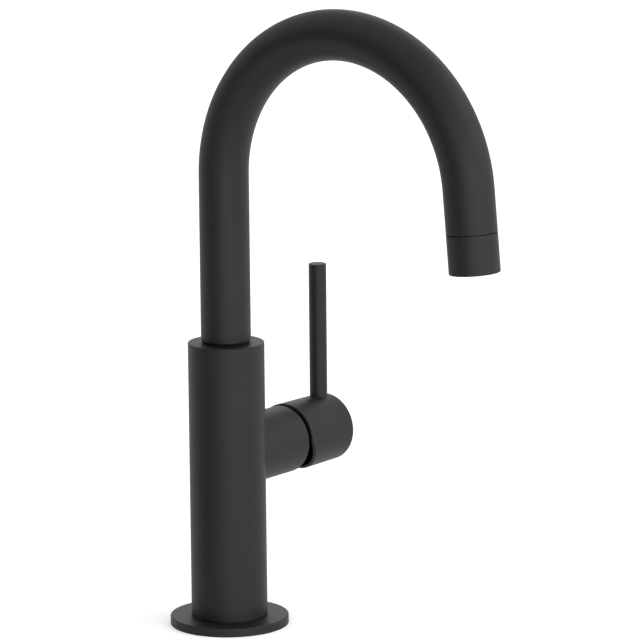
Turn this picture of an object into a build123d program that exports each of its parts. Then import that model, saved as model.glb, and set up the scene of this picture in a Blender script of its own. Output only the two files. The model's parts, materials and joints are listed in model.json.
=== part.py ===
from build123d import *
import os
from math import asin, cos, degrees, radians, sin, sqrt, tan

# Single-hole basin mixer with a swivelling gooseneck spout and a side lever, in millimetres.
# +Z is up and z = 0 is the deck. The spout reaches towards -Y, and the lever's axis runs along +X.
# The origin is the middle of the underside.

# Clearances
static_fit = 0.05           # radial, between pieces that stay put in each other
running_fit = 0.08          # radial, between pieces that turn in each other
free_gap = 0.3              # between pieces that pass each other
disc_film = 0.03            # between the two ceramic discs

# Body column and its side boss
body_d = 34.0
body_top_z = 128.3
body_edge_r = 0.4
foot_d = 29.8               # stepped foot that stands in the flange
foot_groove_h = 0.4         # fine groove round the column, on the flange
foot_groove_depth = 0.5
handle_z = 76.8             # height of the lever's axis
boss_wall = 1.8             # round the cartridge's nut
boss_end_x = 40.0
boss_edge_r = 0.4

# Base flange and its seal
flange_d = 53.0
flange_t = 3.9
flange_edge_r = 0.5
base_seal_inset = 2.5       # from the flange's rim
base_seal_w = 5.0
base_seal_t = 1.6

# Waterways: M10x1 inlets and one M8 stud in the underside, drilled up to the cartridge seat
inlet_x = 4.5
inlet_thread_r = 4.46
inlet_thread_len = 12.0
channel_r = 2.9
stud_x = -9.0
stud_thread_r = 3.32
stud_thread_len = 15.0
riser_x = -5.0
riser_r = 4.5
seat_port_r = 2.6

# Spout: a round pipe, upright, bent over and running down to the collar
pipe_d = 22.2
pipe_wall = 1.5
pipe_foot_gap = 1.2         # shadow gap between the body's top and the pipe
pipe_rise = 74.25           # straight length before the bend
bend_r = 66.6
bend_angle = 175.0
spout_tail = 35.5           # straight length after the bend, to the outlet's rim
swivel_half = 60.0          # degrees to each side

# Spigot that carries the spout in the body
socket_step = 0.3           # socket radius beyond the pipe's bore
socket_depth = 30.0
socket_floor_gap = 0.7
spigot_wall = 3.0
spigot_lap = 12.0           # length inside the pipe
seal_cord = 1.8
seal_squeeze = 0.04
seal_groove_w = 2.4
upper_seal_drop = 6.5       # below the body's top
lower_seal_drop = 12.5
guide_lift = 1.8            # above the spigot's end
guide_w = 3.0
guide_t = 1.2
glide_ring_inset = 0.6      # behind the pipe's face

# Stop screw in the body's back: an M5 grub screw whose tip runs in the spigot's slot
stop_drop = 19.5
stop_screw_r = 2.5
stop_tip_r = 1.4
stop_slot_depth = 1.7
stop_slot_play = 0.3
stop_recess = 0.6
hex_key = 2.5
hex_depth = 2.4

# Outlet: collar, ferrule and aerator
collar_len = 17.0
seam_gap = 0.4
collar_edge_r = 0.5
ferrule_wall = 1.6
ferrule_lap = 8.0
aerator_washer_t = 1.2
aerator_washer_w = 2.3
aerator_cage_len = 6.8
aerator_wall = 1.2
aerator_grid_t = 1.6
aerator_lip_t = 1.2
aerator_lip_w = 1.2
aerator_recess = 0.4
grid_web = 0.47             # between the holes
grid_margin = 0.5           # outside the outer ring of holes
grid_rings = 3
ring_step = 6               # more holes in each ring than in the one inside it
screen_t = 0.6
screen_rim_w = 0.6
screen_hole_r = 0.5

# Cartridge, from its seat outwards along +X
cartridge_d = 25.0
cartridge_depth = 29.0      # its seat, behind the boss's end
base_t = 6.0
peg_r = 1.5
peg_len = 1.8
peg_edge = 0.4              # to the rim of the base
peg_angle = 24.6            # degrees below level
port_r = 2.4
port_edge = 1.14            # between a port's seal and the rim of the base
inlet_port_angle = 19.4     # degrees above level
port_seal_w = 1.7
port_seal_t = 1.5
fixed_disc_t = 3.5
disc_side_gap = 0.5         # to the housing, where the moving disc comes nearest
moving_disc_t = 3.0
disc_pocket_rim = 0.8
disc_pocket_down = 2.4
disc_pocket_depth = 1.4
carrier_t = 5.85
rail_y = 6.9
rail_w = 1.6
rail_h = 1.0
housing_wall = 1.05
housing_plate_t = 2.0
rotor_flange_t = 1.35
neck_step = 2.0             # rotor's neck within the housing's bore
rotor_top = 4.5             # beyond the pivot
stop_rib_w = 3.0            # rib in the housing that stops the rotor's flange
pivot_pin_r = 1.5

# Nut and dome ring that close the boss's mouth
nut_thread_step = 0.85
nut_recess = 0.4
nut_slots = 4
nut_slot_w = 3.0
nut_slot_depth = 1.2
dome_inset = 0.7            # from the boss's mouth
dome_gap = 0.65             # to the hub's bore, while it tilts
dome_wall = 1.2
dome_mouth_r = 9.6
dome_skirt_len = 1.5
dome_skirt_wall = 0.9

# Lever: stem, hub and pin
lever_open = 25.0           # degrees of tilt at full flow
turn_half = 50.0            # degrees to each side, cold to hot
lever_arm = 9.0             # pivot to the ball end in the carrier
ball_r = 2.1
ball_depth = 2.4
ball_play = 0.35
finger_r = 1.4
stem_side = 6.5
stem_rear = 5.0             # square part behind the pivot
stem_grip = 10.0            # square part inside the hub
hub_gap = 1.8
hub_len = 30.7
hub_step = 0.5              # radius beyond the boss's
hub_draft = 0.35            # radius lost to its outer end
hub_edge_r = 0.4
hub_rim_r = 0.5             # round its rear rim
hub_slant = 28.0            # degrees, of the lower rear face that makes room for the tilt
web_clear = 1.8             # hub's web beyond the dome ring
hub_screw_r = 2.5
hub_screw_inset = 5.0       # behind the web's face
cap_t = 2.2
cap_recess = 0.4
cap_gap = 1.7               # between the plug and the screw
pin_d = 8.0
pin_inset = 6.0             # its axis, behind the hub's end
pin_rise = 76.5             # above the lever's axis
pin_edge_r = 0.35
pin_seat_up = 10.0          # shoulder of the pin above the hub's axis
pin_thread_r = 3.0
pin_thread_len = 4.5

# Worked-out sizes
body_r = body_d / 2
foot_r = foot_d / 2
pipe_r = pipe_d / 2
pipe_bore_r = pipe_r - pipe_wall
pipe_foot_z = body_top_z + pipe_foot_gap
bend_start_z = pipe_foot_z + pipe_rise
socket_r = pipe_bore_r + socket_step
spigot_r = socket_r - running_fit
spigot_bottom_z = body_top_z - socket_depth + socket_floor_gap
stop_z = body_top_z - stop_drop
stop_tip_y = socket_r - stop_slot_depth + free_gap
stop_slot_r = socket_r - stop_slot_depth
stop_slot_w = 2 * (stop_tip_r + stop_slot_play)
stop_slot_half = swivel_half + degrees(asin((stop_tip_r + static_fit) / stop_tip_y))

seat_x = boss_end_x - cartridge_depth
chamber_r = cartridge_d / 2
housing_r = chamber_r - static_fit
housing_bore_r = housing_r - housing_wall
disc_r = housing_bore_r - static_fit
base_top_x = seat_x + base_t
moving_disc_x = base_top_x + fixed_disc_t + disc_film
carrier_x = moving_disc_x + moving_disc_t
carrier_top_x = carrier_x + carrier_t
rotor_x = carrier_top_x + free_gap
plate_x = rotor_x + rotor_flange_t + static_fit
shoulder_x = plate_x + housing_plate_t
pivot_x = carrier_top_x - ball_depth + lever_arm
nut_face_x = boss_end_x - nut_recess
rotor_neck_r = housing_bore_r - neck_step
turn_stop_r = rotor_neck_r + free_gap
turn_stop_half = turn_half + degrees(asin((stop_rib_w / 2 + static_fit) / turn_stop_r))
nut_r = chamber_r + nut_thread_step
nut_bore_r = rotor_neck_r + free_gap
mouth_r = nut_r + static_fit
boss_r = mouth_r + boss_wall

tilt = radians(lever_open)
disc_travel = lever_arm * sin(tilt)
disc_rest_z = -disc_travel / 2
moving_disc_r = housing_bore_r - disc_travel / 2 - disc_side_gap
disc_pocket_r = moving_disc_r - disc_pocket_down - disc_pocket_rim
stem_front = (rotor_top + stem_side / 2 * sin(tilt)) / cos(tilt)
slot_half = max(stem_rear, stem_front) * sin(tilt) + stem_side / 2 * cos(tilt) + free_gap

hub_rear_x = boss_end_x + hub_gap
hub_end_x = hub_rear_x + hub_len
hub_rear_r = boss_r + hub_step
hub_end_r = hub_rear_r - hub_draft
dome_base = nut_face_x - pivot_x
dome_base_out_r = mouth_r - dome_inset
dome_r = sqrt(dome_base**2 + dome_base_out_r**2)
hub_bore_r = dome_r + dome_gap
web_x = pivot_x + dome_r + web_clear
grip_end_x = web_x + stem_grip
hub_screw_x = web_x + hub_screw_inset
pin_r = pin_d / 2
pin_x = hub_end_x - pin_inset
pin_top_z = handle_z + pin_rise

# Working planes. A turned piece is drawn as (along its axis, out from it) on one of them.
upright = Plane(origin=(0, 0, 0), x_dir=(0, 0, 1), z_dir=(0, 1, 0))
crosswise = Plane(origin=(0, 0, handle_z), x_dir=(1, 0, 0), z_dir=(0, -1, 0))
spout_plane = Plane(origin=(0, 0, 0), x_dir=(0, -1, 0), z_dir=(-1, 0, 0))
back_hole = Plane(origin=(0, body_r, stop_z), x_dir=(1, 0, 0), z_dir=(0, 1, 0))


def across(x):
    """Plane square to the lever's axis at x: its own x is +Y, its own y is +Z."""
    return Plane(origin=(x, 0, handle_z), x_dir=(0, 1, 0), z_dir=(1, 0, 0))


def turn(frame, *outline, mode=Mode.ADD):
    """Revolve a closed outline about the frame's x axis, in the part being built."""
    with BuildSketch(frame) as profile:
        with BuildLine():
            Polyline(*outline, close=True)
        make_face()
    revolve(profile.sketch, axis=Axis(frame.origin, frame.x_dir), mode=mode)


def bar(frame, start, end, r, bore=0.0, mode=Mode.ADD):
    """Round bar or tube from start to end along the frame's x axis."""
    turn(frame, (start, bore), (end, bore), (end, r), (start, r), mode=mode)


def ring_sector(plane, inner_r, outer_r, middle, half):
    """Sketch of a sector of a ring, where middle and half its spread are degrees from the plane's x."""
    with BuildSketch(plane) as sector:
        with BuildLine():
            outside = CenterArc((0, 0), outer_r, middle - half, 2 * half)
            inside = CenterArc((0, 0), inner_r, middle - half, 2 * half)
            Line(outside @ 0, inside @ 0)
            Line(outside @ 1, inside @ 1)
        make_face()
    return sector.sketch


def save(piece, name):
    piece.part.label = name
    export_step(piece.part, f"parts/{name}.step")


os.makedirs("parts", exist_ok=True)

# Body column: turned column with a side boss, bored for the spout, the cartridge and the water
port_seal_r = port_r + port_seal_w
port_circle_r = housing_r - port_seal_r - port_edge
inlet_y = port_circle_r * cos(radians(inlet_port_angle))
inlet_port_up = port_circle_r * sin(radians(inlet_port_angle))
inlets = [(inlet_x, -inlet_y), (inlet_x, inlet_y)]
inlet_ports = [(-inlet_y, inlet_port_up), (inlet_y, inlet_port_up)]
outlet_port = (0, -port_circle_r)
port_places = inlet_ports + [outlet_port]
peg_circle_r = housing_r - peg_r - peg_edge
peg_y = peg_circle_r * cos(radians(peg_angle))
peg_down = peg_circle_r * sin(radians(peg_angle))
pegs = [(-peg_y, -peg_down), (peg_y, -peg_down)]
inlet_top_z = handle_z + inlet_port_up + channel_r
riser_bottom_z = handle_z - port_circle_r - riser_r
with BuildPart() as body_column:
    bar(upright, 0, flange_t, foot_r)
    bar(upright, flange_t, flange_t + foot_groove_h, body_r - foot_groove_depth)
    bar(upright, flange_t + foot_groove_h, body_top_z, body_r)
    bar(crosswise, 0, boss_end_x, boss_r)
    fillet(body_column.edges().filter_by(GeomType.CIRCLE).group_by(Axis.Z)[-1], body_edge_r)
    fillet(body_column.edges().filter_by(GeomType.CIRCLE).group_by(Axis.X)[-1], boss_edge_r)
    bar(upright, body_top_z - socket_depth, body_top_z, socket_r, mode=Mode.SUBTRACT)
    bar(crosswise, seat_x, boss_end_x, chamber_r, mode=Mode.SUBTRACT)
    bar(crosswise, shoulder_x, boss_end_x, mouth_r, mode=Mode.SUBTRACT)
    with BuildSketch(Plane.XY):
        with Locations(*inlets):
            Circle(inlet_thread_r)
    extrude(amount=inlet_thread_len, mode=Mode.SUBTRACT)
    with BuildSketch(Plane.XY):
        with Locations(*inlets):
            Circle(channel_r)
    extrude(amount=inlet_top_z, mode=Mode.SUBTRACT)
    with BuildSketch(Plane.XY):
        with Locations((stud_x, 0)):
            Circle(stud_thread_r)
    extrude(amount=stud_thread_len, mode=Mode.SUBTRACT)
    with BuildSketch(Plane.XY.offset(riser_bottom_z)):
        with Locations((riser_x, 0)):
            Circle(riser_r)
    extrude(amount=body_top_z - socket_depth - riser_bottom_z, mode=Mode.SUBTRACT)
    with BuildSketch(across(seat_x)):
        with Locations(*inlet_ports):
            Circle(seat_port_r)
    extrude(amount=inlet_x - seat_x, mode=Mode.SUBTRACT)
    with BuildSketch(across(seat_x)):
        with Locations(outlet_port):
            Circle(seat_port_r)
    extrude(amount=riser_x - seat_x, mode=Mode.SUBTRACT)
    with BuildSketch(across(seat_x)):
        with Locations(*pegs):
            Circle(peg_r + static_fit)
    extrude(amount=-peg_len - static_fit, mode=Mode.SUBTRACT)
    with BuildSketch(back_hole):
        Circle(stop_screw_r + static_fit)
    extrude(amount=-(body_r - socket_r / 2), mode=Mode.SUBTRACT)
save(body_column, "body_column")

# Base flange, and the flat seal in its underside
flange_r = flange_d / 2
base_seal_out_r = flange_r - base_seal_inset
base_seal_in_r = base_seal_out_r - base_seal_w
with BuildPart() as base_flange:
    bar(upright, 0, flange_t, flange_r, bore=foot_r + static_fit)
    fillet(base_flange.edges().group_by(Axis.Z)[-1].sort_by(SortBy.RADIUS)[-1], flange_edge_r)
    bar(upright, 0, base_seal_t, base_seal_out_r + static_fit, bore=base_seal_in_r - static_fit,
        mode=Mode.SUBTRACT)
save(base_flange, "base_flange")

with BuildPart() as base_seal:
    bar(upright, 0, base_seal_t, base_seal_out_r, bore=base_seal_in_r)
save(base_seal, "base_seal")

# Stop screw: grub screw with a hexagon socket and a plain tip
with BuildPart() as stop_screw:
    with BuildSketch(back_hole.offset(-stop_recess)):
        Circle(stop_screw_r)
    extrude(amount=-(body_r - stop_recess - socket_r - free_gap))
    with BuildSketch(back_hole.offset(-stop_recess)):
        Circle(stop_tip_r)
    extrude(amount=-(body_r - stop_recess - stop_tip_y))
    with BuildSketch(back_hole.offset(-stop_recess)):
        RegularPolygon(hex_key / 2, 6, major_radius=False)
    extrude(amount=-hex_depth, mode=Mode.SUBTRACT)
save(stop_screw, "stop_screw")

# Cartridge base: three ports, with a seal round each on both faces, and two locating pegs
with BuildPart() as cartridge_base:
    bar(crosswise, seat_x, base_top_x, housing_r)
    with BuildSketch(across(seat_x)):
        with Locations(*pegs):
            Circle(peg_r)
    extrude(amount=-peg_len)
    with BuildSketch(across(seat_x)):
        with Locations(*port_places):
            Circle(port_r)
    extrude(amount=base_t, mode=Mode.SUBTRACT)
    for face_x, inward in ((seat_x, 1), (base_top_x, -1)):
        with BuildSketch(across(face_x)):
            with Locations(*port_places):
                Circle(port_seal_r + static_fit)
        extrude(amount=inward * port_seal_t, mode=Mode.SUBTRACT)
save(cartridge_base, "cartridge_base")


def three_seals(face_x, inward):
    """Flat seals round the three ports, from one face of the base into it."""
    with BuildSketch(across(face_x)) as rings:
        with Locations(*port_places):
            Circle(port_seal_r)
            Circle(port_r, mode=Mode.SUBTRACT)
    extrude(rings.sketch, amount=inward * port_seal_t)


with BuildPart() as port_seals:
    three_seals(seat_x, 1)
save(port_seals, "port_seals")

with BuildPart() as disc_seals:
    three_seals(base_top_x, -1)
save(disc_seals, "disc_seals")

# Ceramic discs: the fixed one has the three ports, the moving one a blind pocket that joins them
with BuildPart() as fixed_disc:
    bar(crosswise, base_top_x, base_top_x + fixed_disc_t, disc_r)
    with BuildSketch(across(base_top_x)):
        with Locations(*port_places):
            Circle(port_r)
    extrude(amount=fixed_disc_t, mode=Mode.SUBTRACT)
save(fixed_disc, "fixed_disc")

disc_centre = (0, disc_rest_z)
with BuildPart() as moving_disc:
    with BuildSketch(across(moving_disc_x)):
        with Locations(disc_centre):
            Circle(moving_disc_r)
    extrude(amount=moving_disc_t)
    with BuildSketch(across(moving_disc_x)):
        with Locations((0, disc_rest_z - disc_pocket_down)):
            Circle(disc_pocket_r)
    extrude(amount=disc_pocket_depth, mode=Mode.SUBTRACT)
save(moving_disc, "moving_disc")

# Carrier: drives the moving disc, with a pocket for the stem's ball and grooves for the rotor's rails
rail_places = [(-rail_y, 0), (rail_y, 0)]
pocket_r = ball_r + ball_play
pocket_floor = carrier_top_x - ball_depth - ball_r - ball_play
with BuildPart() as disc_carrier:
    with BuildSketch(across(carrier_x)):
        with Locations(disc_centre):
            Circle(moving_disc_r)
    extrude(amount=carrier_t)
    turn(crosswise, (pocket_floor, 0), (carrier_top_x, 0), (carrier_top_x, pocket_r + ball_play * 2),
         (carrier_top_x - ball_play * 2, pocket_r), (pocket_floor, pocket_r), mode=Mode.SUBTRACT)
    with BuildSketch(across(carrier_top_x)):
        with Locations(*rail_places):
            Rectangle(rail_w + free_gap, 4 * moving_disc_r)
    extrude(amount=-(rail_h + free_gap), mode=Mode.SUBTRACT)
save(disc_carrier, "disc_carrier")

# Housing: shell round the discs, with an end plate that keeps the rotor in and a rib that stops it
rib_out_r = housing_bore_r + housing_wall / 2
with BuildPart() as cartridge_housing:
    bar(crosswise, base_top_x, shoulder_x, housing_r, bore=housing_bore_r)
    bar(crosswise, plate_x, shoulder_x, housing_r, bore=rotor_neck_r + running_fit)
    with BuildSketch(across(rotor_x)):
        with Locations((0, -(turn_stop_r + rib_out_r) / 2)):
            Rectangle(stop_rib_w, rib_out_r - turn_stop_r)
    extrude(amount=plate_x - rotor_x)
save(cartridge_housing, "cartridge_housing")

# Rotor: turns in the housing, holds the stem's pivot and drives the carrier with two rails.
# The notch in its flange has the housing's rib in it, so its ends are cold and hot.
rotor_flange_r = housing_bore_r - free_gap
rotor_end_x = pivot_x + rotor_top
pivot_plane = Plane(origin=(pivot_x, 0, handle_z), x_dir=(1, 0, 0), z_dir=(0, 1, 0))
with BuildPart() as cartridge_rotor:
    bar(crosswise, rotor_x, rotor_x + rotor_flange_t, rotor_flange_r)
    extrude(ring_sector(across(rotor_x), rotor_neck_r / 2, housing_bore_r, -90, turn_stop_half),
            amount=rotor_flange_t, mode=Mode.SUBTRACT)
    bar(crosswise, rotor_x, rotor_end_x, rotor_neck_r)
    with BuildSketch(across(rotor_x)):
        Circle(rotor_neck_r - free_gap)
        Rectangle(2 * rail_y - rail_w, 2 * rotor_flange_r, mode=Mode.SUBTRACT)
        Rectangle(2 * rail_y + rail_w, 2 * rotor_flange_r, mode=Mode.INTERSECT)
    extrude(amount=-rail_h)
    with BuildSketch(across(rotor_x)):
        Rectangle(stem_side + free_gap, 2 * slot_half)
    extrude(amount=rotor_end_x - rotor_x, mode=Mode.SUBTRACT)
    with BuildSketch(pivot_plane):
        Circle(pivot_pin_r + static_fit)
    extrude(amount=rotor_neck_r, both=True, mode=Mode.SUBTRACT)
save(cartridge_rotor, "cartridge_rotor")

with BuildPart() as pivot_pin:
    with BuildSketch(pivot_plane):
        Circle(pivot_pin_r)
    extrude(amount=rotor_neck_r - free_gap, both=True)
save(pivot_pin, "pivot_pin")

# Cartridge nut, with spanner slots and a step for the dome ring's skirt
skirt_r = nut_bore_r + dome_skirt_wall + static_fit
with BuildPart() as cartridge_nut:
    bar(crosswise, shoulder_x, nut_face_x, nut_r, bore=nut_bore_r)
    bar(crosswise, nut_face_x - dome_skirt_len - static_fit, nut_face_x, skirt_r + static_fit,
        mode=Mode.SUBTRACT)
    with BuildSketch(across(nut_face_x)):
        with PolarLocations(nut_r, nut_slots):
            Rectangle(2 * (nut_r - skirt_r) - dome_skirt_wall, nut_slot_w)
    extrude(amount=-nut_slot_depth, mode=Mode.SUBTRACT)
save(cartridge_nut, "cartridge_nut")

# Dome ring: a zone of a ball about the lever's pivot, so that the hub tilts over it
dome_in_r = dome_r - dome_wall
dome_mouth = sqrt(dome_r**2 - dome_mouth_r**2)
dome_inner_mouth = sqrt(dome_in_r**2 - dome_mouth_r**2)
dome_base_in_r = sqrt(dome_in_r**2 - dome_base**2)
dome_frame = Plane(origin=(pivot_x, 0, handle_z), x_dir=(1, 0, 0), z_dir=(0, -1, 0))
with BuildPart() as dome_ring:
    with BuildSketch(dome_frame):
        with BuildLine():
            outer = RadiusArc((dome_base, dome_base_out_r), (dome_mouth, dome_mouth_r), dome_r)
            Line(outer @ 1, (dome_inner_mouth, dome_mouth_r))
            RadiusArc((dome_inner_mouth, dome_mouth_r), (dome_base, dome_base_in_r), -dome_in_r)
            Line((dome_base, dome_base_in_r), outer @ 0)
        make_face()
    revolve(axis=Axis(dome_frame.origin, dome_frame.x_dir))
    bar(crosswise, nut_face_x, nut_face_x + dome_wall, (dome_base_in_r + dome_base_out_r) / 2,
        bore=skirt_r - dome_skirt_wall)
    bar(crosswise, nut_face_x - dome_skirt_len, nut_face_x, skirt_r, bore=skirt_r - dome_skirt_wall)
save(dome_ring, "dome_ring")

# Stem: ball, finger and square shank in one
with BuildPart() as lever_stem:
    bar(crosswise, pivot_x - lever_arm, pivot_x, finger_r)
    with BuildSketch(across(pivot_x - stem_rear)):
        Rectangle(stem_side, stem_side)
    extrude(amount=stem_rear + grip_end_x - free_gap - pivot_x)
    with Locations((pivot_x - lever_arm, 0, handle_z)):
        Sphere(ball_r)
    with BuildSketch(pivot_plane):
        Circle(pivot_pin_r + running_fit)
    extrude(amount=stem_side, both=True, mode=Mode.SUBTRACT)
save(lever_stem, "lever_stem")

# Hub: a slightly tapered barrel, bored over the dome ring, with its lower rear face cut on the slant
hub_taper = (hub_rear_r - hub_end_r) / (hub_end_x - hub_rear_x)
hub_skin_r = hub_rear_r - hub_taper * (hub_screw_x - hub_rear_x)
hub_screw_top_z = handle_z - stem_side / 2
cap_bottom_z = handle_z - hub_skin_r + cap_recess
hub_screw_len = hub_screw_top_z - cap_bottom_z - cap_t - cap_gap
pin_seat_z = handle_z + pin_seat_up
slant_run = 2 * hub_rear_r
slant_back = slant_run * tan(radians(hub_slant))
with BuildPart() as handle_hub:
    turn(crosswise, (hub_rear_x, 0), (hub_end_x, 0), (hub_end_x, hub_end_r), (hub_rear_x, hub_rear_r))
    fillet(handle_hub.edges().filter_by(GeomType.CIRCLE).group_by(Axis.X)[-1], hub_edge_r)
    with BuildSketch(crosswise):
        with BuildLine():
            Polyline((hub_rear_x, 0), (hub_rear_x, -slant_run), (hub_rear_x + slant_back, -slant_run),
                     close=True)
        make_face()
    extrude(amount=slant_run, both=True, mode=Mode.SUBTRACT)
    rear_rim = handle_hub.edges().filter_by(lambda edge: edge.geom_type != GeomType.LINE
                                            and edge.center().X < hub_rear_x + slant_back)
    fillet(rear_rim, hub_rim_r)
    bar(crosswise, hub_rear_x, web_x, hub_bore_r, mode=Mode.SUBTRACT)
    with BuildSketch(across(web_x)):
        Rectangle(stem_side + 2 * static_fit, stem_side + 2 * static_fit)
    extrude(amount=stem_grip, mode=Mode.SUBTRACT)
    with BuildSketch(Plane.XY.offset(handle_z)):
        with Locations((hub_screw_x, 0)):
            Circle(hub_screw_r + static_fit)
    extrude(amount=-2 * hub_rear_r, mode=Mode.SUBTRACT)
    with BuildSketch(Plane.XY.offset(pin_seat_z)):
        with Locations((pin_x, 0)):
            Circle(pin_r + static_fit)
    extrude(amount=hub_rear_r, mode=Mode.SUBTRACT)
    with BuildSketch(Plane.XY.offset(pin_seat_z)):
        with Locations((pin_x, 0)):
            Circle(pin_thread_r + static_fit)
    extrude(amount=-pin_thread_len - static_fit, mode=Mode.SUBTRACT)
save(handle_hub, "handle_hub")

# Hub screw, clamped on the stem from below, and the plug that hides it
with BuildPart() as hub_screw:
    with BuildSketch(Plane.XY.offset(hub_screw_top_z)):
        with Locations((hub_screw_x, 0)):
            Circle(hub_screw_r)
    extrude(amount=-hub_screw_len)
    with BuildSketch(Plane.XY.offset(hub_screw_top_z - hub_screw_len)):
        with Locations((hub_screw_x, 0)):
            RegularPolygon(hex_key / 2, 6, major_radius=False)
    extrude(amount=hex_depth, mode=Mode.SUBTRACT)
save(hub_screw, "hub_screw")

with BuildPart() as screw_cap:
    with BuildSketch(Plane.XY.offset(cap_bottom_z)):
        with Locations((hub_screw_x, 0)):
            Circle(hub_screw_r)
    extrude(amount=cap_t)
save(screw_cap, "screw_cap")

# Lever pin: a plain rod, screwed into the hub
with BuildPart() as lever_pin:
    with BuildSketch(Plane.XY.offset(pin_seat_z)):
        with Locations((pin_x, 0)):
            Circle(pin_r)
    extrude(amount=pin_top_z - pin_seat_z)
    fillet(lever_pin.edges().group_by(Axis.Z)[-1], pin_edge_r)
    with BuildSketch(Plane.XY.offset(pin_seat_z)):
        with Locations((pin_x, 0)):
            Circle(pin_thread_r)
    extrude(amount=-pin_thread_len)
save(lever_pin, "lever_pin")

# Spout pipe, swept along its centre line
tube_tail = spout_tail - collar_len - seam_gap
with BuildLine(spout_plane) as centre_line:
    rise = Line((0, pipe_foot_z), (0, bend_start_z))
    bend = JernArc(rise @ 1, (0, 1), bend_r, -bend_angle)
    Line(bend @ 1, bend @ 1 + bend % 1 * tube_tail)
with BuildPart() as spout_tube:
    with BuildSketch(Plane.XY.offset(pipe_foot_z)):
        Circle(pipe_r)
        Circle(pipe_bore_r, mode=Mode.SUBTRACT)
    sweep(path=centre_line.line)
save(spout_tube, "spout_tube")

# Outlet frame: its x axis runs out of the mouth along the jet, and its origin is on the collar's rim
jet = centre_line.line % 1
rim = centre_line.line @ 1 + jet * (collar_len + seam_gap)
outlet = Plane(origin=rim, x_dir=jet, z_dir=(1, 0, 0))
mouth = Plane(origin=rim, x_dir=(1, 0, 0), z_dir=jet)

# Spigot: fixed in the pipe's foot, with grooves for the seals and the guide ring and the stop's slot
groove_r = socket_r - seal_cord
guide_groove_r = socket_r - guide_t
upper_seal_z = body_top_z - upper_seal_drop
lower_seal_z = body_top_z - lower_seal_drop
guide_bottom_z = spigot_bottom_z + guide_lift
spigot_bore_r = spigot_r - spigot_wall
neck_r = pipe_bore_r - static_fit
with BuildPart() as spout_spigot:
    bar(upright, spigot_bottom_z, body_top_z, spigot_r, bore=spigot_bore_r)
    bar(upright, body_top_z, pipe_foot_z + spigot_lap, neck_r, bore=spigot_bore_r)
    for seal_z in (upper_seal_z, lower_seal_z):
        bar(upright, seal_z - seal_groove_w / 2, seal_z + seal_groove_w / 2, socket_r, bore=groove_r,
            mode=Mode.SUBTRACT)
    bar(upright, guide_bottom_z - static_fit, guide_bottom_z + guide_w + static_fit, socket_r,
        bore=guide_groove_r, mode=Mode.SUBTRACT)
    extrude(ring_sector(Plane.XY.offset(stop_z - stop_slot_w / 2), stop_slot_r, socket_r, 90,
                        stop_slot_half), amount=stop_slot_w, mode=Mode.SUBTRACT)
save(spout_spigot, "spout_spigot")

# Spigot seals, squeezed between groove and socket
seal_r = seal_cord / 2 - seal_squeeze
for seal_name, seal_z in (("upper_seal", upper_seal_z), ("lower_seal", lower_seal_z)):
    with BuildPart() as spigot_seal:
        with BuildSketch(upright):
            with Locations((seal_z, socket_r - seal_cord / 2)):
                Circle(seal_r)
        revolve(axis=Axis.Z)
    save(spigot_seal, seal_name)

with BuildPart() as guide_ring:
    bar(upright, guide_bottom_z, guide_bottom_z + guide_w, socket_r - running_fit,
        bore=guide_groove_r + static_fit)
save(guide_ring, "guide_ring")

# Glide ring: the black ring in the shadow gap, on which the pipe's foot turns
with BuildPart() as glide_ring:
    bar(upright, body_top_z, pipe_foot_z, pipe_r - glide_ring_inset, bore=neck_r + static_fit)
save(glide_ring, "glide_ring")

# Outlet ferrule: half in the pipe's end, half in the collar
ferrule_r = pipe_bore_r - static_fit
ferrule_bore_r = ferrule_r - ferrule_wall
pipe_end = -(collar_len + seam_gap)
cage_end = -(aerator_lip_t + aerator_cage_len)
ferrule_end = cage_end - aerator_washer_t
with BuildPart() as outlet_ferrule:
    bar(outlet, pipe_end - ferrule_lap, ferrule_end, ferrule_r, bore=ferrule_bore_r)
save(outlet_ferrule, "outlet_ferrule")

lip_r = ferrule_r - aerator_lip_w
with BuildPart() as aerator_collar:
    bar(outlet, -collar_len, 0, pipe_r, bore=lip_r)
    fillet(aerator_collar.edges().filter_by(GeomType.CIRCLE).sort_by(Axis.Z)[:2]
           .sort_by(SortBy.RADIUS)[-1], collar_edge_r)
    bar(outlet, -collar_len, -aerator_lip_t, pipe_bore_r, mode=Mode.SUBTRACT)
save(aerator_collar, "aerator_collar")

with BuildPart() as aerator_washer:
    bar(outlet, ferrule_end, cage_end, ferrule_r, bore=ferrule_r - aerator_washer_w)
save(aerator_washer, "aerator_washer")


cage_bore_r = lip_r - aerator_wall
grid_pitch = (2 * (cage_bore_r - grid_margin) + grid_web) / (2 * grid_rings + 1)
grid_hole_r = (grid_pitch - grid_web) / 2


def sieve(plane, hole_r):
    """Cut rings of small holes through the part being built, from the plane down along the jet."""
    with BuildSketch(plane) as holes:
        Circle(hole_r)
        for ring in range(1, grid_rings + 1):
            with PolarLocations(ring * grid_pitch, ring_step * ring):
                Circle(hole_r)
    extrude(holes.sketch, amount=aerator_cage_len, mode=Mode.SUBTRACT)


# Aerator cage: a cup that the collar's lip holds, with a sieve for a floor that stands in the lip
cage_floor = -aerator_recess - aerator_grid_t
with BuildPart() as aerator_cage:
    bar(outlet, cage_end, -aerator_lip_t, ferrule_r)
    bar(outlet, -aerator_lip_t, -aerator_recess, lip_r - static_fit)
    bar(outlet, cage_end, cage_floor, cage_bore_r, mode=Mode.SUBTRACT)
    sieve(mouth.offset(cage_floor), grid_hole_r)
save(aerator_cage, "aerator_cage")

# Screen: a fine sieve over the floor of the cage, held a little above it by its own rim
screen_r = cage_bore_r - static_fit
with BuildPart() as aerator_screen:
    bar(outlet, cage_end, cage_floor, screen_r, bore=screen_r - screen_rim_w)
    bar(outlet, cage_end, cage_end + screen_t, screen_r)
    sieve(mouth.offset(cage_end), screen_hole_r)
save(aerator_screen, "aerator_screen")
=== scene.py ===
import json
from math import cos, radians, sin

import bpy
from mathutils import Matrix, Vector


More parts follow.
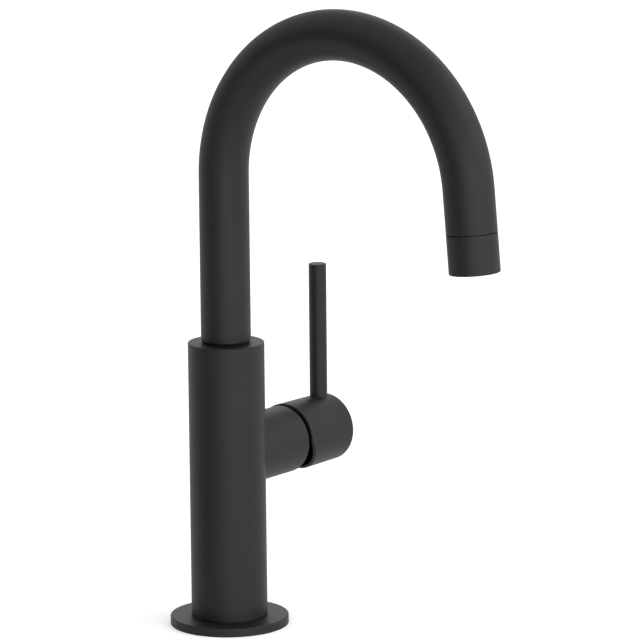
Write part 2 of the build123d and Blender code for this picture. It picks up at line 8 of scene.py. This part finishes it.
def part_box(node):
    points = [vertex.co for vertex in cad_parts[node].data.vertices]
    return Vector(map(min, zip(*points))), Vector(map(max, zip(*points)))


# A matt black basin mixer tap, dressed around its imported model. Lengths are in metres, angles in
# degrees and lamps in watts. Azimuth 0 is the -Y side, and azimuth 90 the +X side.

# Camera: the photograph's view of the tap
view_azimuth = -52.19
view_elevation = 11.452
view_roll = -0.544
view_distance = 2.0527
look_up = 0.13773           # the point looked at, above the deck
look_aside = 0.04173        # and to the right of the column's axis
sensor_width = 36.0
lens = 260.86
nearest, furthest = 0.1, 50.0

# Stage: everything round the tap is white, and the floor's own shade is lifted to white
floor_size = 14.0
floor_colour = (0.9, 0.9, 0.9)
floor_lift = 0.15           # what the floor adds to its own shade, for the camera and in reflections
world_light = 1.0

# Softboxes: azimuth, elevation, distance, width, height and power
softboxes = {
    "front_softbox": (-30.0, 4.0, 5.0, 8.0, 0.9, 151.0),
    "side_softbox": (30.0, 30.0, 4.0, 3.0, 3.0, 56.0),
    "back_softbox": (110.0, 30.0, 4.0, 3.0, 3.0, 16.0),
    "low_softbox": (128.0, 12.0, 4.0, 1.5, 1.0, 3.5),
}

# Dark cards: azimuth, how far out the foot and the top edge are, and the top edge's width and height
dark_cards = {
    "left_flag": (250.0, 0.8, 0.8, 1.34, 0.66),
    "near_flag": (245.0, 0.1, 0.2, 0.2, 0.005),
}
card_black = (0.01, 0.01, 0.01)

# Colours, as the darkest and the lightest of each
coat_colours = ((0.003, 0.003, 0.003), (0.0045, 0.0045, 0.0045))
brass_colours = ((0.72, 0.52, 0.25), (0.8, 0.6, 0.32))
steel_colours = ((0.5, 0.5, 0.51), (0.6, 0.6, 0.6))
blackened_colours = ((0.04, 0.04, 0.043), (0.06, 0.06, 0.062))
# Painted shade: the near-black colour of the hub's hollow, standing in for the shadow in it
painted_hollow_shade = (0.0005, 0.0005, 0.0005)

# Black coat: scales are lumps to the metre
coat_ior = 1.37
coat_roughness = (0.52, 0.58)
coat_cloud_scale = 90.0
coat_grain_scale = 2600.0
coat_grain_depth = 0.00001

# Moulded pieces, by material slot: darkest and lightest colour, roughness and specular level
moulded_finishes = {
    "seal_rubber": ((0.012, 0.012, 0.012), (0.018, 0.018, 0.018), 0.6, 0.5),
    # The black plastic rings sit in shadow gaps. They are black plastic with painted shade: their colour and gloss
    # are darker than the plastic's own.
    "black_plastic": ((0.002, 0.002, 0.002), (0.003, 0.003, 0.003), 0.8, 0.1),
    "cartridge_plastic": ((0.66, 0.66, 0.63), (0.72, 0.72, 0.69), 0.4, 0.5),
    "aerator_plastic": ((0.05, 0.05, 0.05), (0.06, 0.06, 0.06), 0.4, 0.5),
    "disc_ceramic": ((0.8, 0.79, 0.75), (0.84, 0.83, 0.8), 0.15, 0.5),
}
moulded_cloud_scale = 400.0
moulded_grain_scale = 5000.0
moulded_grain_depth = 0.000005
moulded_roughness_spread = 0.04

# Bare metal pieces, by node: colours, roughness, and the axis that the piece is turned round, if any
metal_finishes = {
    "cartridge_nut": (brass_colours, 0.3, "X"),
    "lever_stem": (brass_colours, 0.3, "X"),
    "spout_spigot": (brass_colours, 0.3, "Z"),
    "pivot_pin": (steel_colours, 0.28, "Y"),
    "aerator_screen": (steel_colours, 0.28, None),
    "hub_screw": (blackened_colours, 0.4, "Z"),
    "stop_screw": (blackened_colours, 0.4, "Y"),
}
metal_mark_scale = 4000.0
metal_mark_depth = 0.000004
metal_smoother, metal_rougher = 0.06, 0.08      # how far the roughness goes either way
cast_brass_scale = 900.0

# Where the coat changes: bare brass in the body's foot, and painted shade in the hub's hollow
bare_foot_r = 0.01485       # the body has no coat within this of the column's axis
bare_foot_z = 0.06          # and up to here
hub_shade_r = 0.0145       # painted shade in the hub's hollow, within this of the lever's axis
hub_shade_reach = 0.01505  # and this far past the lever's pivot, just into its web

# Where the noise's value starts and stops to matter, because it seldom goes further either way
noise_low, noise_high = 0.3, 0.7

# Sockets of the Mix node when it mixes colours, which has several of each name
mix_factor, mix_first, mix_second, mix_result = 0, 6, 7, 2

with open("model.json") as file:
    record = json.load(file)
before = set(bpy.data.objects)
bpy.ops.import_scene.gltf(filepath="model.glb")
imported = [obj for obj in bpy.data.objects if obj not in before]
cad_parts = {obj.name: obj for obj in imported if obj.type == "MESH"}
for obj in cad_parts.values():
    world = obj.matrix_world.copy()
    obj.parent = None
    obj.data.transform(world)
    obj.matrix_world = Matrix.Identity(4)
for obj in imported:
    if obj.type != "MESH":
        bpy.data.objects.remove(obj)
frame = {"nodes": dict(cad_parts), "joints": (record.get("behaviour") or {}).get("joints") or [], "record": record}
nodes = frame["nodes"]
joints = {joint["name"]: joint for joint in frame["joints"]}
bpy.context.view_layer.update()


def direction(azimuth, elevation):
    """Unit vector from the object towards that side."""
    a, e = radians(azimuth), radians(elevation)
    return Vector((sin(a) * cos(e), -cos(a) * cos(e), sin(e)))


def make_camera():
    back = direction(view_azimuth, view_elevation)
    right = direction(view_azimuth + 90, 0)
    upward = back.cross(right)
    turn = Matrix((right, upward, back)).transposed() @ Matrix.Rotation(radians(view_roll), 3, "Z")
    place = Vector((0, 0, look_up)) + right * look_aside + back * view_distance
    data = bpy.data.cameras.new("camera")
    data.sensor_width = sensor_width
    data.lens = lens
    data.clip_start, data.clip_end = nearest, furthest
    camera = bpy.data.objects.new("camera", data)
    camera.matrix_world = Matrix.Translation(place) @ turn.to_4x4()
    bpy.context.scene.collection.objects.link(camera)
    bpy.context.scene.camera = camera


class Shade:
    """A material being made: add() makes a node, and link() joins an output to an input."""

    def __init__(self, name):
        self.material = bpy.data.materials.new(name)
        self.material.use_nodes = True
        self.tree = self.material.node_tree
        self.tree.nodes.clear()
        self.out = self.add("ShaderNodeOutputMaterial")

    def add(self, kind, settings=None, **inputs):
        node = self.tree.nodes.new(kind)
        for key, value in (settings or {}).items():
            setattr(node, key, value)
        for key, value in inputs.items():
            node.inputs[key.replace("_", " ")].default_value = value
        return node

    def link(self, output, socket):
        self.tree.links.new(output, socket)

    def surface(self, **inputs):
        bsdf = self.add("ShaderNodeBsdfPrincipled", **inputs)
        self.link(bsdf.outputs["BSDF"], self.out.inputs["Surface"])
        return bsdf

    def place(self):
        """The mesh's own coordinates, in metres."""
        return self.add("ShaderNodeTexCoord").outputs["Object"]

    def noise(self, scale, detail=2.0, place=None):
        """Noise with about `scale` lumps to the metre."""
        noise = self.add("ShaderNodeTexNoise", Scale=scale, Detail=detail)
        self.link(place or self.place(), noise.inputs["Vector"])
        return noise.outputs["Fac"]

    def between(self, noise, low, high):
        """Value from low to high as the noise goes over its range."""
        ramp = self.add("ShaderNodeMapRange", From_Min=noise_low, From_Max=noise_high,
                        To_Min=low, To_Max=high)
        self.link(noise, ramp.inputs["Value"])
        return ramp.outputs["Result"]

    def colours(self, noise, low, high):
        """Colour from low to high as the noise goes over its range."""
        ramp = self.add("ShaderNodeValToRGB")
        for element, position, colour in zip(ramp.color_ramp.elements, (noise_low, noise_high), (low, high)):
            element.position = position
            element.color = (*colour, 1)
        self.link(noise, ramp.inputs["Fac"])
        return ramp.outputs["Color"]

    def bump(self, height, distance):
        bump = self.add("ShaderNodeBump", Distance=distance)
        self.link(height, bump.inputs["Height"])
        return bump.outputs["Normal"]

    def vector_math(self, operation, first, second=None):
        node = self.add("ShaderNodeVectorMath", {"operation": operation})
        self.link(first, node.inputs[0])
        if second is not None:
            node.inputs[1].default_value = second
        return node.outputs

    def round_axis(self, axis, centre):
        """How far a point is from an axis through the centre, and how far along it."""
        from_centre = self.vector_math("SUBTRACT", self.place(), centre)["Vector"]
        across = [0 if letter == axis else 1 for letter in "XYZ"]
        flat = self.vector_math("MULTIPLY", from_centre, across)["Vector"]
        radius = self.vector_math("LENGTH", flat)["Value"]
        parts = self.add("ShaderNodeSeparateXYZ")
        self.link(from_centre, parts.inputs["Vector"])
        return radius, parts.outputs[axis]

    def both_below(self, first, first_limit, second, second_limit):
        """1 where both values are below their limits, and 0 elsewhere."""
        product = self.add("ShaderNodeMath", {"operation": "MULTIPLY"})
        for socket, value, limit in zip(product.inputs, (first, second), (first_limit, second_limit)):
            test = self.add("ShaderNodeMath", {"operation": "LESS_THAN"})
            self.link(value, test.inputs[0])
            test.inputs[1].default_value = limit
            self.link(test.outputs[0], socket)
        return product.outputs[0]

    def mixed(self, factor, first):
        """A Mix node that shows the first colour where the factor is 0, and its second where it is 1."""
        mix = self.add("ShaderNodeMix", {"data_type": "RGBA"})
        self.link(factor, mix.inputs[mix_factor])
        self.link(first, mix.inputs[mix_first])
        return mix


def coat(name):
    """Matt black coat on brass: a fine even grain, with a faint cloudiness in it."""
    shade = Shade(name)
    bsdf = shade.surface(IOR=coat_ior)
    cloud = shade.noise(coat_cloud_scale, detail=3.0)
    grain = shade.noise(coat_grain_scale)
    colour = shade.colours(cloud, *coat_colours)
    shade.link(colour, bsdf.inputs["Base Color"])
    shade.link(shade.between(grain, *coat_roughness), bsdf.inputs["Roughness"])
    shade.link(shade.bump(grain, coat_grain_depth), bsdf.inputs["Normal"])
    return shade, bsdf, colour


def plain_coat():
    shade, bsdf, colour = coat("black_coat")
    return shade.material


def body_coat():
    """The coat, with bare brass in the column's foot, where the inlets and the stud go in."""
    shade, bsdf, black = coat("body_coat")
    radius, height = shade.round_axis("Z", (0, 0, 0))
    bare = shade.both_below(radius, bare_foot_r, height, bare_foot_z)
    mix = shade.mixed(bare, black)
    brass = shade.colours(shade.noise(cast_brass_scale, detail=4.0), *brass_colours)
    shade.link(brass, mix.inputs[mix_second])
    shade.link(mix.outputs[mix_result], bsdf.inputs["Base Color"])
    shade.link(bare, bsdf.inputs["Metallic"])
    return shade.material


def handle_coat_and_hollow_shade():
    """The coat, with painted shade in the hub's deep, narrow hollow: a near-black colour and no gloss, so that it
    reads as plain black.
    """
    shade, bsdf, black = coat("handle_coat_and_hollow_shade")
    radius, along = shade.round_axis("X", joints["mix_turn"]["pos_m"])
    # Painted shade in the hub's hollow: a near-black colour and no gloss there
    hollow = shade.both_below(radius, hub_shade_r, along, hub_shade_reach)
    mix = shade.mixed(hollow, black)
    mix.inputs[mix_second].default_value = (*painted_hollow_shade, 1)
    shade.link(mix.outputs[mix_result], bsdf.inputs["Base Color"])
    gloss = shade.add("ShaderNodeMapRange", To_Min=0.5, To_Max=0.0)
    shade.link(hollow, gloss.inputs["Value"])
    shade.link(gloss.outputs["Result"], bsdf.inputs["Specular IOR Level"])
    return shade.material


def moulded(name, low, high, roughness, gloss):
    """Moulded plastic, rubber or ceramic, with a fine matt skin."""
    shade = Shade(name)
    bsdf = shade.surface(Specular_IOR_Level=gloss)
    cloud = shade.noise(moulded_cloud_scale)
    grain = shade.noise(moulded_grain_scale)
    smoothest, roughest = roughness - moulded_roughness_spread, roughness + moulded_roughness_spread
    shade.link(shade.colours(cloud, low, high), bsdf.inputs["Base Color"])
    shade.link(shade.between(cloud, smoothest, roughest), bsdf.inputs["Roughness"])
    shade.link(shade.bump(grain, moulded_grain_depth), bsdf.inputs["Normal"])
    return shade.material


def bare_metal(node, colours, roughness, axis):
    """Bare metal: the rings of a piece turned round its own axis, or without one an even fine grain."""
    shade = Shade(node)
    bsdf = shade.surface(Metallic=1.0)
    place = None
    if axis:
        low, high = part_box(node)
        radius, along = shade.round_axis(axis, [(a + b) / 2 for a, b in zip(low, high)])
        rings = shade.add("ShaderNodeCombineXYZ")
        shade.link(radius, rings.inputs["X"])
        shade.link(along, rings.inputs["Y"])
        place = rings.outputs["Vector"]
    marks = shade.noise(metal_mark_scale, detail=3.0, place=place)
    smoothest, roughest = roughness - metal_smoother, roughness + metal_rougher
    shade.link(shade.colours(marks, *colours), bsdf.inputs["Base Color"])
    shade.link(shade.between(marks, smoothest, roughest), bsdf.inputs["Roughness"])
    shade.link(shade.bump(marks, metal_mark_depth), bsdf.inputs["Normal"])
    return shade.material


def dress():
    """Give every node of the model its material: one of its own, or else that of its slot."""
    by_slot = {"black_coat": plain_coat()}
    for slot, finish in moulded_finishes.items():
        by_slot[slot] = moulded(slot, *finish)
    by_node = {"body_column": body_coat(), "handle_hub": handle_coat_and_hollow_shade()}
    for node, finish in metal_finishes.items():
        by_node[node] = bare_metal(node, *finish)
    for row in frame["record"]["subparts"]:
        name = row["node"]
        mesh = nodes[name].data
        mesh.materials.clear()
        mesh.materials.append(by_node[name] if name in by_node else by_slot[row["material_slot"]])


def add_sheet(shade, corners):
    """Flat four-cornered piece of the stage, named as its material is."""
    mesh = bpy.data.meshes.new(shade.material.name)
    mesh.from_pydata(corners, [], [(0, 1, 2, 3)])
    mesh.materials.append(shade.material)
    sheet = bpy.data.objects.new(shade.material.name, mesh)
    bpy.context.scene.collection.objects.link(sheet)
    return sheet


def camera_or_gloss(shade):
    """1 where the camera or a reflection looks, 0 for the light that falls on things."""
    path = shade.add("ShaderNodeLightPath")
    found = path.outputs["Is Camera Ray"]
    for ray in ("Is Glossy Ray", "Is Transmission Ray"):
        larger = shade.add("ShaderNodeMath", {"operation": "MAXIMUM"})
        shade.link(found, larger.inputs[0])
        shade.link(path.outputs[ray], larger.inputs[1])
        found = larger.outputs[0]
    return found


def make_floor():
    """Plain pale floor, which reads white to the camera but keeps the tap's shadow."""
    shade = Shade("floor")
    diffuse = shade.add("ShaderNodeBsdfDiffuse", Color=(*floor_colour, 1))
    lift = shade.add("ShaderNodeEmission")
    total = shade.add("ShaderNodeAddShader")
    strength = shade.add("ShaderNodeMath", {"operation": "MULTIPLY"})
    strength.inputs[1].default_value = floor_lift
    shade.link(camera_or_gloss(shade), strength.inputs[0])
    shade.link(strength.outputs[0], lift.inputs["Strength"])
    shade.link(diffuse.outputs[0], total.inputs[0])
    shade.link(lift.outputs[0], total.inputs[1])
    shade.link(total.outputs[0], shade.out.inputs["Surface"])
    half = floor_size / 2
    add_sheet(shade, [(-half, -half, 0), (half, -half, 0), (half, half, 0), (-half, half, 0)])


def make_dark_card(name, azimuth, foot, reach, width, height):
    """Dark card from the floor at `foot` to its top edge at `reach`. Only the tap's gloss shows it."""
    shade = Shade(name)
    shade.surface(Base_Color=(*card_black, 1), Roughness=1.0, Specular_IOR_Level=0.0)
    outward = direction(azimuth, 0)
    half_top = direction(azimuth + 90, 0) * width / 2
    half_foot = half_top * foot / reach
    low = outward * foot
    high = outward * reach + Vector((0, 0, height))
    card = add_sheet(shade, [low - half_foot, low + half_foot, high + half_top, high - half_top])
    card.visible_camera = card.visible_diffuse = card.visible_shadow = False


def make_world():
    world = bpy.data.worlds.new("world")
    world.use_nodes = True
    background = world.node_tree.nodes["Background"]
    background.inputs["Color"].default_value = (1, 1, 1, 1)
    background.inputs["Strength"].default_value = world_light
    bpy.context.scene.world = world


def make_softbox(name, azimuth, elevation, distance, width, height, power):
    """Area lamp that faces the tap's middle."""
    towards = direction(azimuth, elevation)
    place = Vector((0, 0, look_up)) + towards * distance
    data = bpy.data.lights.new(name, "AREA")
    data.shape = "RECTANGLE"
    data.size, data.size_y = width, height
    data.energy = power
    lamp = bpy.data.objects.new(name, data)
    lamp.matrix_world = Matrix.Translation(place) @ towards.to_track_quat("Z", "Y").to_matrix().to_4x4()
    lamp.visible_camera = False
    bpy.context.scene.collection.objects.link(lamp)


make_camera()
dress()
make_floor()
make_world()
for name, settings in softboxes.items():
    make_softbox(name, *settings)
for name, settings in dark_cards.items():
    make_dark_card(name, *settings)
bpy.context.scene.view_settings.view_transform = "Standard"
